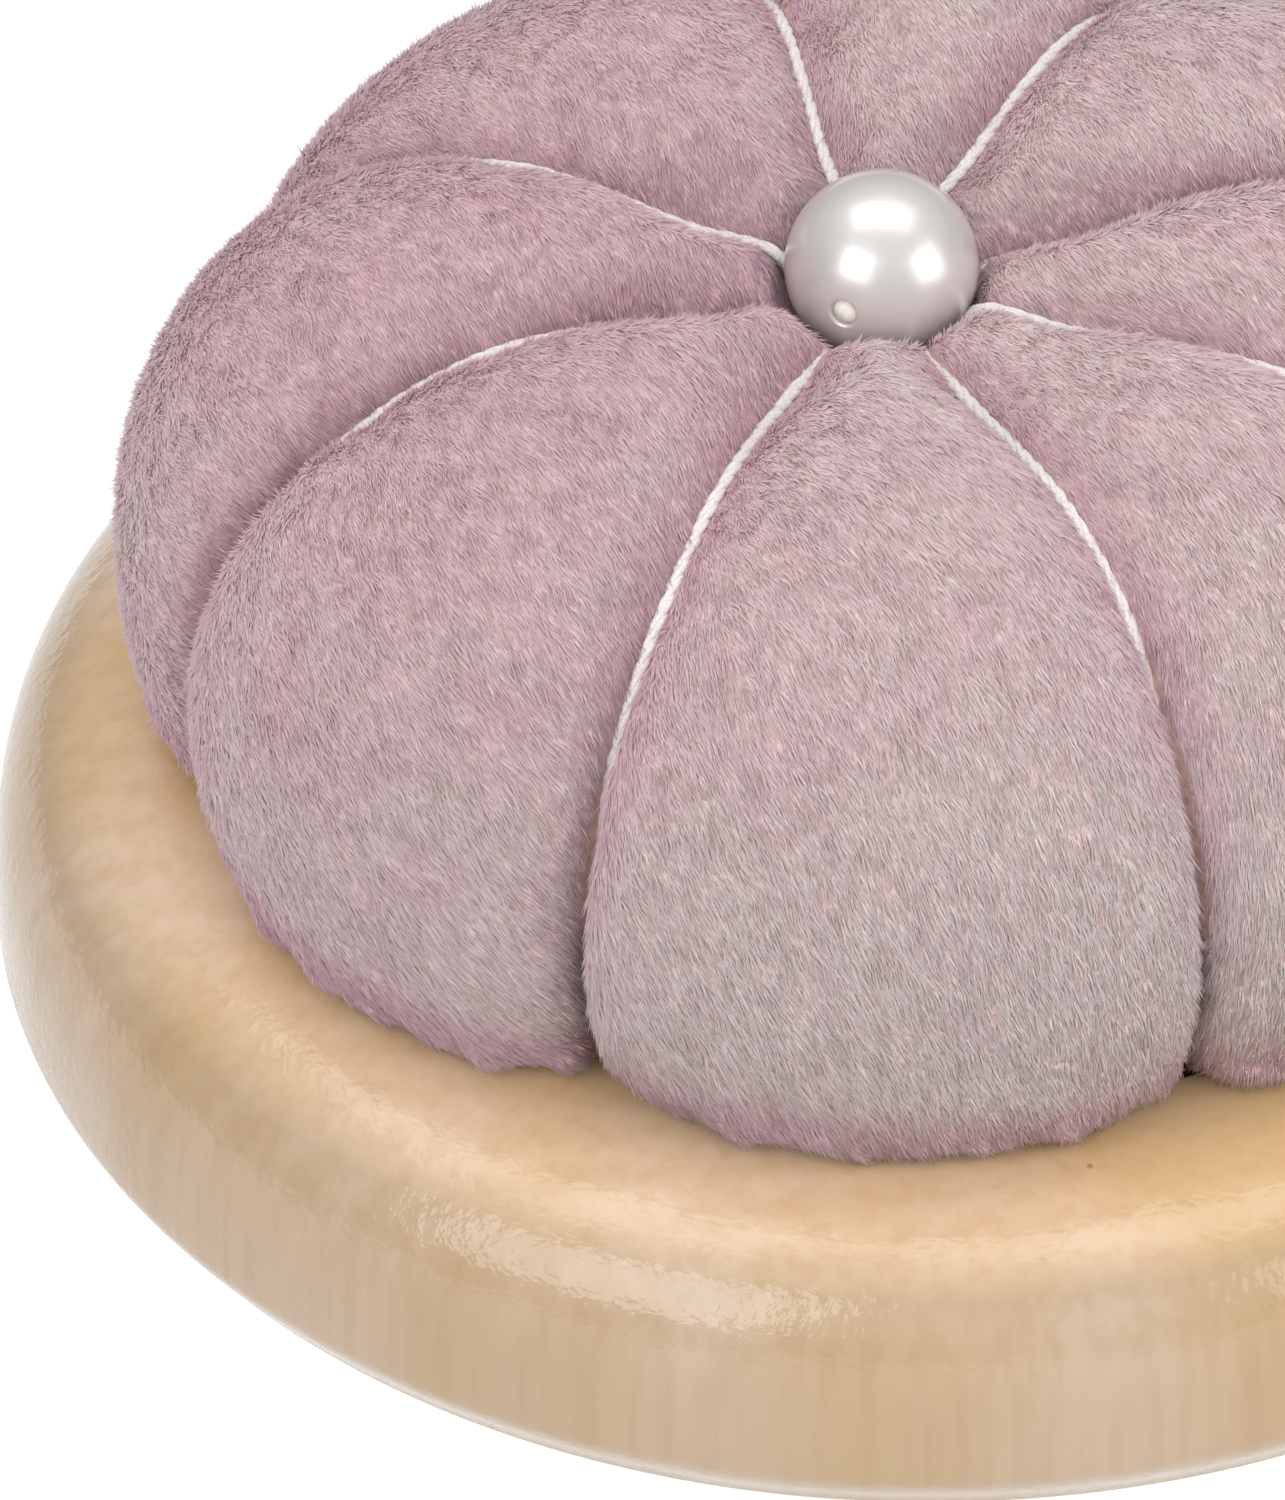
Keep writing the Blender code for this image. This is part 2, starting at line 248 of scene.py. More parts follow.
back = Vector((math.sin(CAMERA_BEARING) * math.cos(CAMERA_ELEVATION),
               -math.cos(CAMERA_BEARING) * math.cos(CAMERA_ELEVATION),
               math.sin(CAMERA_ELEVATION)))
right = Vector((0, 0, 1)).cross(back).normalized()
upwards = back.cross(right)
camera = bpy.data.objects.new("camera", bpy.data.cameras.new("camera"))
bpy.context.scene.collection.objects.link(camera)
camera.data.lens = LENS_MM
camera.data.clip_start, camera.data.clip_end = 0.01, 10
camera.location = Vector((0, 0, AIM_HEIGHT)) + back * CAMERA_DISTANCE
aim = Vector((0, 0, AIM_HEIGHT)) - right * AIM_LEFT + upwards * AIM_UP
camera.rotation_mode = "QUATERNION"
look = (aim - camera.location).to_track_quat("-Z", "Y")
camera.rotation_quaternion = look @ Quaternion((0, 0, 1), CAMERA_ROLL)
bpy.context.scene.camera = camera
print(f"camera {1000 * CAMERA_DISTANCE:.0f} mm away, {LENS_MM:.0f} mm lens")

# %% [markdown]
# ## The wooden dish
# The real dish is turned from one blank on a lathe. A spin does the same: one section, from the
# middle of the recess over the rim and down the side to the middle of the underside. The rim and
# shoulder are a quarter of a superellipse, flat on top and fullest at the shoulder.

# %% Dish: section and spin
SIDE_TOP = 3.0 * MM
RIM_FULLNESS = 3.2
RIM_STEPS = 60
FOOT_INSET = 1.6 * MM
FOOT_ROUNDING = 0.6 * MM
MOUTH_ROUNDING = 0.4 * MM
FLOOR_FILLET = 0.8 * MM
DISH_STEPS = 256


def dish_section():
    """Points from the middle of the recess, over the rim, to the middle of the underside."""
    points = [(0, RECESS_FLOOR)]
    fillet = (RECESS_RADIUS - FLOOR_FILLET, RECESS_FLOOR + FLOOR_FILLET)
    points += arc(fillet, (FLOOR_FILLET, FLOOR_FILLET), -90, 0, 6)
    mouth = (RECESS_RADIUS + MOUTH_ROUNDING, RIM_HEIGHT - MOUTH_ROUNDING)
    points += arc(mouth, (MOUTH_ROUNDING, MOUTH_ROUNDING), 180, 90, 6)
    inner = mouth[0] + 0.2 * MM
    for step in range(RIM_STEPS + 1):
        angle = math.pi / 2 * (1 - step / RIM_STEPS)
        across = math.cos(angle) ** (2 / RIM_FULLNESS)
        up = math.sin(angle) ** (2 / RIM_FULLNESS)
        points.append((inner + (DISH_RADIUS - inner) * across, SIDE_TOP + (RIM_HEIGHT - SIDE_TOP) * up))
    # The side draws in more and more towards the foot.
    for step in range(1, 6):
        share = step / 6
        height = SIDE_TOP + share * (FOOT_ROUNDING - SIDE_TOP)
        points.append((DISH_RADIUS - FOOT_INSET * share**1.5, height))
    foot = (DISH_RADIUS - FOOT_INSET - FOOT_ROUNDING, FOOT_ROUNDING)
    points += arc(foot, (FOOT_ROUNDING, FOOT_ROUNDING), -20, -90, 6)
    return points + [(0, 0)]


dish_bm = spun(dish_section(), DISH_STEPS)
print(f"dish: {len(dish_section())} points in the section, spun in {DISH_STEPS} steps")

# %% [markdown]
# ### The colour of birch
# Birch is pale and even. Its grain runs up the dish, so the side shows fine upright streaks and
# broad warm bands, and the top shows growth rings as faint arcs. A few pin knots are the only dark
# marks. Noise stretched along the grain makes the streaks, and a sine of the distance from the
# log's pith makes the rings.

# %% Birch colour
PITH_OFFSET = (0.02, -0.11, 0)
RING_SPACING = 2.6 * MM
RING_WANDER = 3.2 * MM
STREAK_WIDTH = 0.88 * MM


def birch_colour(tree, place, streaks):
    """The socket of the wood's colour at each place."""
    shifted = add(tree, "ShaderNodeMapping", {"Vector": place, "Location": PITH_OFFSET})
    flat = add(tree, "ShaderNodeVectorMath", {0: shifted.outputs["Vector"], 1: (1, 1, 0)},
               operation="MULTIPLY")
    distance = add(tree, "ShaderNodeVectorMath", {0: flat.outputs[0]}, operation="LENGTH")
    wander = add(tree, "ShaderNodeTexNoise", {"Vector": place, "Scale": 28.0, "Detail": 3.0})
    bent = add(tree, "ShaderNodeMath",
               {0: wander.outputs["Fac"], 1: RING_WANDER, 2: distance.outputs["Value"]},
               operation="MULTIPLY_ADD")
    rings = add(tree, "ShaderNodeMath", {0: bent.outputs[0], 1: math.tau / RING_SPACING},
                operation="MULTIPLY")
    wave = add(tree, "ShaderNodeMath", {0: rings.outputs[0]}, operation="SINE")
    ring_share = add(tree, "ShaderNodeMath", {0: wave.outputs[0], 1: 0.12, 2: 0.12},
                     operation="MULTIPLY_ADD")
    broad = add(tree, "ShaderNodeMapping", {"Vector": place, "Scale": (1, 1, 0.12)})
    bands = add(tree, "ShaderNodeTexNoise",
                {"Vector": broad.outputs["Vector"], "Scale": 75.0, "Detail": 2.0})
    warm = add(tree, "ShaderNodeValToRGB", {"Fac": bands.outputs["Fac"]},
               [(0.38, "D4B799"), (0.5, "D0B08B"), (0.62, "CAA879")])
    ringed = add(tree, "ShaderNodeMix", {"Factor": ring_share.outputs[0], 6: warm.outputs["Color"],
                                         7: linear("C2A277")}, data_type="RGBA", clamp_factor=True)
    streak_share = add(tree, "ShaderNodeMapRange",
                       {"Value": streaks.outputs["Fac"], "From Min": 0.42, "From Max": 0.72,
                        "To Min": 0.0, "To Max": 0.34})
    streaked = add(tree, "ShaderNodeMix", {"Factor": streak_share.outputs[0], 6: ringed.outputs[2],
                                           7: linear("B98F62")}, data_type="RGBA")
    specks = add(tree, "ShaderNodeTexVoronoi", {"Vector": place, "Scale": 120.0, "Randomness": 1.0})
    speck = add(tree, "ShaderNodeMapRange",
                {"Value": specks.outputs["Distance"], "From Min": 0.015, "From Max": 0.03,
                 "To Min": 0.85, "To Max": 0.0})
    rare = add(tree, "ShaderNodeMath", {0: specks.outputs["Color"], 1: 0.86}, operation="GREATER_THAN")
    speck_share = add(tree, "ShaderNodeMath", {0: speck.outputs[0], 1: rare.outputs[0]},
                      operation="MULTIPLY")
    knotted = add(tree, "ShaderNodeMix", {"Factor": speck_share.outputs[0], 6: streaked.outputs[2],
                                          7: linear("6E4A2C")}, data_type="RGBA")
    # Painted shade and light: the side is painted darker than the top, and the top a little lighter.
    level = add(tree, "ShaderNodeSeparateXYZ", {0: place})
    painted_side_shade = add(tree, "ShaderNodeMapRange",
                 {"Value": level.outputs["Z"], "From Min": RIM_HEIGHT - 2.3 * MM,
                  "From Max": RIM_HEIGHT - 0.2 * MM, "To Min": 0.63, "To Max": 1.05})
    shaded = add(tree, "ShaderNodeVectorMath", {0: knotted.outputs[2], "Scale": painted_side_shade.outputs[0]},
                 operation="SCALE")
    return shaded.outputs[0]


# %% [markdown]
# ### Lacquer
# A brushed lacquer dries with a soft gloss and a slight orange peel, which breaks the lights'
# reflections up. It is the shader's coat, with its own bumps over those of the grain.

# %% Lacquered birch
PEEL_SIZE = 0.6 * MM
PEEL_DEPTH = 0.16 * MM
GRAIN_DEPTH = 0.05 * MM


def lacquered_birch():
    made, tree, shader = new_material("birch_turned_and_lacquered")
    place = add(tree, "ShaderNodeTexCoord").outputs["Object"]
    long_way = add(tree, "ShaderNodeMapping", {"Vector": place, "Scale": (1, 1, 0.035)})
    streaks = add(tree, "ShaderNodeTexNoise",
                  {"Vector": long_way.outputs["Vector"], "Scale": 1 / STREAK_WIDTH, "Detail": 4.0})
    tree.links.new(birch_colour(tree, place, streaks), shader.inputs["Base Color"])
    peel = add(tree, "ShaderNodeTexNoise",
               {"Vector": place, "Scale": 1 / PEEL_SIZE, "Detail": 2.0, "Roughness": 0.6})
    grain = add(tree, "ShaderNodeBump",
                {"Height": streaks.outputs["Fac"], "Strength": 0.12, "Distance": GRAIN_DEPTH})
    skin = add(tree, "ShaderNodeBump", {"Height": peel.outputs["Fac"], "Strength": 0.4,
                                        "Distance": PEEL_DEPTH, "Normal": grain.outputs["Normal"]})
    tree.links.new(grain.outputs["Normal"], shader.inputs["Normal"])
    tree.links.new(skin.outputs["Normal"], shader.inputs["Coat Normal"])
    shader.inputs["Roughness"].default_value = 0.55
    shader.inputs["Coat Weight"].default_value = 1.0
    shader.inputs["Coat Roughness"].default_value = 0.12
    return made


dish = object_from("wooden_dish", mesh_from("wooden_dish", dish_bm, 35), lacquered_birch())
finished(dish, "wooden_base", "wooden_base")

# %% [markdown]
# ## The cushion's form
# The real cushion is a disc of plush gathered round a ball of fibre. A thread pulled over it eight
# times makes eight lobes, with valleys that are open at the top and close into folds at the hem.
# A section along a lobe's crest and one along a valley's bottom, with a curve between them, give
# the pattern; then a cloth simulation inflates it, so the fabric bulges between the threads.

# %% Sections of the cushion's outside
CREST_SHARE = 0.49
DIMPLE_FULLNESS = 1.8
PILE_HEIGHT = 0.7 * MM
SEAT_RADIUS = BEAD_RADIUS + 0.7 * MM
VALLEY_DEPTH_TOP = 2.9 * MM
VALLEY_DEPTH_HEM = 4.4 * MM
VALLEY_TUCK = 6.5 * MM
VALLEY_LIFT = 1.2 * MM
DIP_WIDTH = 5.0 * MM
DIMPLE_STEPS, OVER_STEPS, HEM_STEPS, FLOOR_STEPS, MIDDLE_STEPS = 10, 18, 9, 8, 4
CREST_RADIUS = CREST_SHARE * CUSHION_RADIUS
REST_HEIGHT = RIM_HEIGHT + CLEARANCE
DIMPLE_FLOOR = BEAD_HEIGHT - SEAT_RADIUS - 0.6 * MM


def dimple_section(depth):
    """From the middle of the dimple out to the crest, kept clear of the bead's seat."""
    points = []
    for step in range(DIMPLE_STEPS):
        share = (step / DIMPLE_STEPS) ** 1.4
        radius = share * CREST_RADIUS
        rise = (1 - (1 - share) ** 2) ** (1 / DIMPLE_FULLNESS)
        sunk = depth * smooth_step(SEAT_RADIUS * 0.4, CREST_RADIUS * 0.6, radius)
        height = DIMPLE_FLOOR + rise * (CREST_HEIGHT - PILE_HEIGHT - DIMPLE_FLOOR) - sunk
        from_bead = math.hypot(radius, height - BEAD_HEIGHT)
        if from_bead < SEAT_RADIUS:
            radius *= SEAT_RADIUS / from_bead
            height = BEAD_HEIGHT + (height - BEAD_HEIGHT) * SEAT_RADIUS / from_bead
        points.append((radius, height))
    return points


def crest_section():
    """Over a lobe's crest, down its side and in underneath, a pile's height inside the tips."""
    over = arc((CREST_RADIUS, WAIST_HEIGHT),
               (CUSHION_RADIUS - PILE_HEIGHT - CREST_RADIUS, CREST_HEIGHT - PILE_HEIGHT - WAIST_HEIGHT),
               90, 0, OVER_STEPS)
    hem_reach = (CUSHION_RADIUS - PILE_HEIGHT - REST_RADIUS, WAIST_HEIGHT - REST_HEIGHT)
    under = arc((REST_RADIUS, WAIST_HEIGHT), hem_reach, 0, -90, HEM_STEPS)
    dip_radius = RECESS_RADIUS - 2 * CLEARANCE - DIP_WIDTH
    dip = arc((dip_radius, REST_HEIGHT), (DIP_WIDTH, REST_HEIGHT - CUSHION_FLOOR), 0, -90, FLOOR_STEPS // 2)
    inwards = [(dip_radius * (1 - step / MIDDLE_STEPS), CUSHION_FLOOR)
               for step in range(1, MIDDLE_STEPS + 1)]
    return dimple_section(0) + over + under[1:] + dip + inwards


def valley_section():
    """Along the bottom of a valley, point for point with the crest's section."""
    over = []
    for index, (across, up) in enumerate(arc((0, 0), (1, 1), 90, 0, OVER_STEPS)):
        depth = VALLEY_DEPTH_TOP + (VALLEY_DEPTH_HEM - VALLEY_DEPTH_TOP) * index / OVER_STEPS
        depth += PILE_HEIGHT
        over.append((CREST_RADIUS + across * (CUSHION_RADIUS - CREST_RADIUS - depth),
                     WAIST_HEIGHT + up * (CREST_HEIGHT - WAIST_HEIGHT - depth)))
    tuck_radius = REST_RADIUS - VALLEY_TUCK
    lifted = REST_HEIGHT + VALLEY_LIFT
    hem_reach = (over[-1][0] - tuck_radius, WAIST_HEIGHT - lifted)
    under = arc((tuck_radius, WAIST_HEIGHT), hem_reach, 0, -90, HEM_STEPS)
    # As many points as the crest's dip and floor have.
    count = FLOOR_STEPS // 2 + 1 + MIDDLE_STEPS
    inwards = []
    for step in range(1, count + 1):
        share = step / count
        height = lifted + (CUSHION_FLOOR - lifted) * smooth_step(0, 0.7, share)
        inwards.append((tuck_radius * (1 - share), height))
    return dimple_section(VALLEY_DEPTH_TOP) + over + under[1:] + inwards


crest, valley = crest_section(), valley_section()
print(f"cushion sections: {len(crest)} and {len(valley)} points")

# %% [markdown]
# ### From sections to a cushion
# The crest's section is spun, and each point is then drawn in towards the valley's section by how
# near it is to a valley. Wound by hand, the valleys stand a few degrees off an even spacing. They
# are open near the bead and become tight folds at the hem.

# %% Spin the cushion and draw it in at the valleys
STEPS_PER_LOBE = 16
STEPS_ROUND = LOBES * STEPS_PER_LOBE
VALLEY_BEARINGS = [math.radians(b) for b in (22.5, 68.0, 107.0, 157.0, 200.0, 245.6, 294.5, 337.5)]
OPEN_VALLEY, TIGHT_VALLEY = 0.6, 0.27


def lobe_fullness(across, along):
    """How far out a lobe stands: across runs from -1 to 1 over the lobe, along from bead to hem."""
    sharpness = OPEN_VALLEY + (TIGHT_VALLEY - OPEN_VALLEY) * smooth_step(0.25, 0.8, along)
    return (1 - across * across) ** sharpness


def cushion_bmesh():
    """The spun crest section, drawn in at the valleys; each point knows its station along it."""
    bm = bmesh.new()
    station = bm.verts.layers.int.new("station")
    points = []
    for index, (radius, height) in enumerate(crest):
        point = bm.verts.new((radius, 0, height))
        point[station] = index
        points.append(point)
    edges = [bm.edges.new(pair) for pair in zip(points, points[1:])]
    bmesh.ops.spin(bm, geom=points + edges, cent=(0, 0, 0), axis=(0, 0, 1), dvec=(0, 0, 0),
                   angle=math.tau, steps=STEPS_ROUND, use_merge=True, use_duplicate=False)
    visible_end = DIMPLE_STEPS + OVER_STEPS + HEM_STEPS
    for point in bm.verts:
        turn = round(math.atan2(point.co.y, point.co.x) / math.tau * STEPS_ROUND) % STEPS_ROUND
        lobe, step = divmod(turn, STEPS_PER_LOBE)
        # Columns stand closer together beside the valleys, where the form bends most.
        across = math.sin(math.pi / 2 * (2 * step / STEPS_PER_LOBE - 1))
        start, stop = VALLEY_BEARINGS[lobe], VALLEY_BEARINGS[(lobe + 1) % LOBES]
        bearing = start + ((stop - start) % math.tau) * (1 + across) / 2
        along = point[station] / visible_end
        full = lobe_fullness(across, along)
        outer, inner = crest[point[station]], valley[point[station]]
        radius = inner[0] + full * (outer[0] - inner[0])
        height = inner[1] + full * (outer[1] - inner[1])
        point.co = (radius * math.cos(bearing), radius * math.sin(bearing), height)
    bmesh.ops.remove_doubles(bm, verts=bm.verts, dist=1e-6)
    bmesh.ops.recalc_face_normals(bm, faces=bm.faces)
    return bm


cushion_bm = cushion_bmesh()
print("cushion pattern:", len(cushion_bm.verts), "points")

# %% [markdown]
# ### Off centre
# The cushion is glued in slightly off the dish's middle, and its top is gathered a little further
# to that side, as handwork is. Everything soft is carried along by the same shift.

# %% Shift of the soft pieces
SET_OFF = np.array([-0.85, -0.42, 0]) * MM
GATHERED_OFF = np.array([-1.35, 0.55, 0]) * MM


def glued_in(places):
    """Moves places from the dish's axis to where the cushion really sits."""
    radius = np.hypot(places[:, 0], places[:, 1])
    near_middle = 1 - smooth_step(4 * MM, 28 * MM, radius)
    near_top = near_middle * smooth_step(RIM_HEIGHT, WAIST_HEIGHT, places[:, 2])
    return places + SET_OFF + near_top[:, None] * GATHERED_OFF


# %% [markdown]
# ### Points as arrays
# Whole meshes are easier to work on as arrays of places. Two measures place every point on the
# cushion: its distance from the nearest valley, and which lobe it is on.

# %% Array helpers
def mesh_places(mesh):
    places = np.empty(3 * len(mesh.vertices), np.float32)
    mesh.vertices.foreach_get("co", places)
    return places.reshape(-1, 3).astype(float)


def set_places(mesh, places):
    mesh.vertices.foreach_set("co", places.astype(np.float32).ravel())
    mesh.update()


def unit(vectors):
    return vectors / np.maximum(np.linalg.norm(vectors, axis=1, keepdims=True), 1e-12)


def valley_distance(places):
    """How far each place is from its nearest valley, measured round the cushion."""
    bearings = np.arctan2(places[:, 1], places[:, 0])[:, None] - np.array(VALLEY_BEARINGS)[None, :]
    off = np.abs((bearings + math.pi) % math.tau - math.pi).min(axis=1)
    return np.hypot(places[:, 0], places[:, 1]) * off


def lobe_index(places):
    """Which lobe each place is on, counted from the first valley."""
    return np.searchsorted(VALLEY_BEARINGS, np.arctan2(places[:, 1], places[:, 0]) % math.tau) % LOBES


def soft_noise(places, size, seed):
    """Smooth noise from -1 to 1 at each place, with bumps of about the given size."""
    shift = Vector((seed * 17.3, seed * 5.1, seed * 9.7))
    return np.array([noise.noise(Vector(place) / size + shift) for place in places])


# %% [markdown]
# ### Inflating it
# The thread and the glued underside hold the fabric still, so those points are pinned. Pressure
# pushes out the rest, and cloth cut a little too large for its place makes the soft ripples that
# run along the threads. A cap on the travel keeps the cushion in the space its solid holds.

# %% Cloth simulation
FRAMES = 20
TRAVEL_CAP = 0.9 * MM
EXTRA_CLOTH = -0.012


def simulate(obj, held):
    """Inflates the object's mesh, with the held points pinned, and leaves the result in it."""
    start = mesh_places(obj.data)
    group = obj.vertex_groups.new(name="held")
    group.add([int(index) for index in np.flatnonzero(held)], 1.0, "REPLACE")
    cloth = obj.modifiers.new("inflate", "CLOTH")
    settings = cloth.settings
    settings.quality = 6
    settings.mass = 0.2
    settings.tension_stiffness = settings.compression_stiffness = 12
    settings.bending_stiffness = 0.8
    settings.vertex_group_mass = "held"
    settings.use_pressure = True
    settings.uniform_pressure_force = 4
    settings.shrink_min = EXTRA_CLOTH
    settings.effector_weights.gravity = 0
    cloth.point_cache.frame_start, cloth.point_cache.frame_end = 1, FRAMES
    for step in range(1, FRAMES + 1):
        bpy.context.scene.frame_set(step)
    moved = evaluated_mesh(obj, "moved")
    travel = mesh_places(moved) - start
    bpy.data.meshes.remove(moved)
    obj.modifiers.remove(cloth)
    obj.vertex_groups.clear()
    bpy.context.scene.frame_set(1)
    length = np.linalg.norm(travel, axis=1, keepdims=True)
    travel *= np.minimum(1, TRAVEL_CAP / np.maximum(length, 1e-9))
    set_places(obj.data, start + travel)
    print(f"simulated: moved {1000 * length.mean():.2f} mm on average, {1000 * length.max():.2f} mm at most")


# %% [markdown]
# Between the fibres of the pile the knit under it shows through. Its colour is painted darker and
# browner, a painted shade for the little light that gets down there. The simulated mesh is divided
# once more, so that its outline is smooth.

# %% Inflate the cover and refine it
ground, shader = mottled("plush_ground_knit_and_shade", 0.5 * MM, 3.0, [(0.35, "A98B86"), (0.65, "C2A6A1")],
                         0.95, bump=0.1 * MM)
cushion = object_from("plush_cover", mesh_from("plush_cover", cushion_bm, 180), ground)
places = mesh_places(cushion.data)
in_dimple = (np.hypot(places[:, 0], places[:, 1]) < SEAT_RADIUS) & (places[:, 2] > WAIST_HEIGHT)
underneath = places[:, 2] < REST_HEIGHT + 0.5 * MM
simulate(cushion, (valley_distance(places) < 0.2 * MM) | in_dimple | underneath)
softer = cushion.modifiers.new("finer", "SUBSURF")
softer.levels = softer.render_levels = 1
smooth_mesh = evaluated_mesh(cushion, "plush_cover")
cushion.modifiers.remove(softer)
cushion.data = smooth_mesh

# %% [markdown]
# The hem's edge puckers where its gathers reach it, which scallops the line it makes on the wood.

# %% Pucker the hem
PUCKER_SIZE = 1.9 * MM
PUCKER_DEPTH = 1.3 * MM
places = mesh_places(smooth_mesh)
near_hem = 1 - smooth_step(REST_HEIGHT + 0.6 * MM, REST_HEIGHT + 3.2 * MM, places[:, 2])
near_hem *= smooth_step(REST_RADIUS - 5 * MM, REST_RADIUS - 2 * MM, np.hypot(places[:, 0], places[:, 1]))
pucker = soft_noise(places * (1, 1, 0.15), PUCKER_SIZE, 7) * near_hem * PUCKER_DEPTH
around = unit(places * (1, 1, 0))
set_places(smooth_mesh, places + around * pucker[:, None])
print("cushion ground:", len(smooth_mesh.vertices), "points")

# %% [markdown]
# ## The pile
# Plush is a knit with cut loops standing on it, and most of its looks come from how they lean. The
# nap has one direction in the flat cloth, so on the gathered cushion it runs down the front lobes
# and up the back ones, which makes some lobes paler than others. Each tuft here is a thin spike
# with three sides; the real fibres are finer still and stick together in such tufts.

# %% Nap direction
NAP = np.array(Vector((0.45, -0.9)).normalized())
NAP_LEAN = 0.85
NAP_SWIRL = 0.12
places = mesh_places(smooth_mesh)
outward = np.array([v.normal for v in smooth_mesh.vertices])
radius = np.hypot(places[:, 0], places[:, 1])
flat_out = places[:, :2] / np.maximum(radius, 1e-9)[:, None]
round_way = np.column_stack([-flat_out[:, 1], flat_out[:, 0], np.zeros(len(places))])
down_way = unit(np.cross(round_way, outward))
nap = (flat_out @ NAP)[:, None] * down_way
nap += (round_way[:, :2] @ NAP)[:, None] * round_way
nap -= (nap * outward).sum(1)[:, None] * outward
swirl = np.column_stack([soft_noise(places, 3.0 * MM, seed) for seed in (1, 2, 3)])
direction = unit(outward * (1 - NAP_LEAN) + unit(nap) * NAP_LEAN + swirl * NAP_SWIRL)
print(f"nap: leans {math.degrees(math.atan2(NAP_LEAN, 1 - NAP_LEAN)):.0f} degrees from upright")

# %% [markdown]
# ### Tint and cover
# The tint runs from mauve to greyish beige. It is pinkest beside the valleys, near the top and in
# a band at the hem, and patchy in between; beside the valleys and near the top that deeper mauve
# is painted shade. No pile grows under the thread, the bead and the cushion, where the fabric is
# squeezed flat.

# %% Tint and cover of the pile
THREAD_STRIP = 0.38 * MM
CREASE_SHADE_STRIP = 2.6 * MM
aside = valley_distance(places)
height = places[:, 2]
climb = (height - REST_HEIGHT) / (CREST_HEIGHT - REST_HEIGHT)
patches = soft_noise(places, 5.0 * MM, 4)
mottle = soft_noise(places, 1.6 * MM, 5)
# Painted shade: a deeper mauve beside the valleys and near the top.
mauve_and_shade = 0.85 * (1 - smooth_step(0, CREASE_SHADE_STRIP, aside)) * smooth_step(0.1, 0.4, climb)
mauve_and_shade += 0.45 * smooth_step(0.45, 0.95, climb)
mauve_and_shade += 1.8 * (1 - smooth_step(0.08, 0.18, climb))
# Painted shade: seen against the nap, as on the left, the tint is painted deeper, for the shaded roots that
# show.
against_nap_shade = smooth_step(-0.1, 0.9, -flat_out[:, 0])
tint = np.clip(0.87 - 0.6 * mauve_and_shade - 0.3 * against_nap_shade + 0.2 * patches + 0.2 * mottle, 0.02, 0.98)
under_thread = (aside < THREAD_STRIP) & (climb > 0.35)
beneath = (radius < REST_RADIUS - 2.0 * MM) & (height < REST_HEIGHT + 1.5 * MM)
under_bead = (radius < 2.6 * MM) & (height > WAIST_HEIGHT)
cover = np.where(under_thread | beneath | under_bead, 0.0, 1.0)
print(f"pile on {100 * cover.mean():.0f}% of the points; mean tint {tint.mean():.2f}")

# %% [markdown]
# ### One tuft
# All tufts are copies of one spike. Its points carry how far along and across it they are, so that
# a tuft can be shaded from root to tip.

# %% Tuft
TUFT_WIDTH = 0.10 * MM


def tuft_object():
    """A three-sided spike along Z, with each point's place across and along stored on it."""
    bm = bmesh.new()
    bmesh.ops.create_cone(bm, cap_ends=False, segments=3, radius1=TUFT_WIDTH / 2, radius2=0,
                          depth=1.0, matrix=Matrix.Translation((0, 0, 0.5)))
    bmesh.ops.remove_doubles(bm, verts=bm.verts, dist=1e-6)
    along = bm.verts.layers.float.new("along")
    across = bm.verts.layers.float.new("across")
    for index, point in enumerate(sorted(bm.verts, key=lambda v: (v.co.z, v.co.x, v.co.y))):
        point[along] = point.co.z
        point[across] = (-1, 0, 1, 0.3)[index]
    return object_from("tuft", mesh_from("tuft", bm, 180), ground)


# %% [markdown]
# ### How a tuft leans
# Each tuft leans along the nap with a little sway of its own. Tufts that stand close together
# stick to each other, so a noise field pulls neighbours the same way.

# %% Lean of the tufts
CLUMP_SIZE = 0.8 * MM
CLUMP_PULL = 0.9
SWAY = 0.2


def tuft_rotation(tree, seed, clumps, direction):
    """The socket of each tuft's rotation."""
    sway = add(tree, "FunctionNodeRandomValue",
               {0: (-SWAY, -SWAY, -SWAY), 1: (SWAY, SWAY, SWAY), "Seed": seed + 1},
               data_type="FLOAT_VECTOR")
    pull = add(tree, "ShaderNodeVectorMath", {0: clumps.outputs["Color"], 1: (0.5, 0.5, 0.5)},
               operation="SUBTRACT")
    pulled = add(tree, "ShaderNodeVectorMath",
                 {0: pull.outputs[0], 1: (CLUMP_PULL, CLUMP_PULL, CLUMP_PULL), 2: sway.outputs[0]},
                 operation="MULTIPLY_ADD")
    leaning = add(tree, "ShaderNodeVectorMath", {0: direction, 1: pulled.outputs[0]},
                  operation="ADD")
    spin_angle = add(tree, "FunctionNodeRandomValue",
                     {0: (0, 0, 0), 1: (0, 0, math.tau), "Seed": seed + 2},
                     data_type="FLOAT_VECTOR")
    spin = add(tree, "FunctionNodeEulerToRotation", {"Euler": spin_angle.outputs[0]})
    turned = add(tree, "FunctionNodeAlignRotationToVector",
                 {"Rotation": spin.outputs["Rotation"], "Vector": leaning.outputs[0]}, axis="Z")
    return turned.outputs["Rotation"]


# %% [markdown]
# ### Where a tuft finds its colour
# Colour comes from a palette: the tint runs across it, and a tuft's own lightness and the place
# from root to tip run up it. The place on the palette is kept as the pile's UV map, so the colours
# stay with the fibres wherever the part is used.

# %% Palette places
def palette_place(tree, read):
    """The socket of each corner's place on the palette."""
    across = add(tree, "ShaderNodeMath", {0: read["across"], 1: 0.015, 2: read["tint"]},
                 operation="MULTIPLY_ADD")
    own = add(tree, "ShaderNodeMath", {0: read["lightness"], 1: 0.36, 2: 0.02},
              operation="MULTIPLY_ADD")
    up = add(tree, "ShaderNodeMath", {0: read["along"], 1: 0.6, 2: own.outputs[0]},
             operation="MULTIPLY_ADD")
    return add(tree, "ShaderNodeCombineXYZ", {"X": across.outputs[0], "Y": up.outputs[0]}).outputs[0]
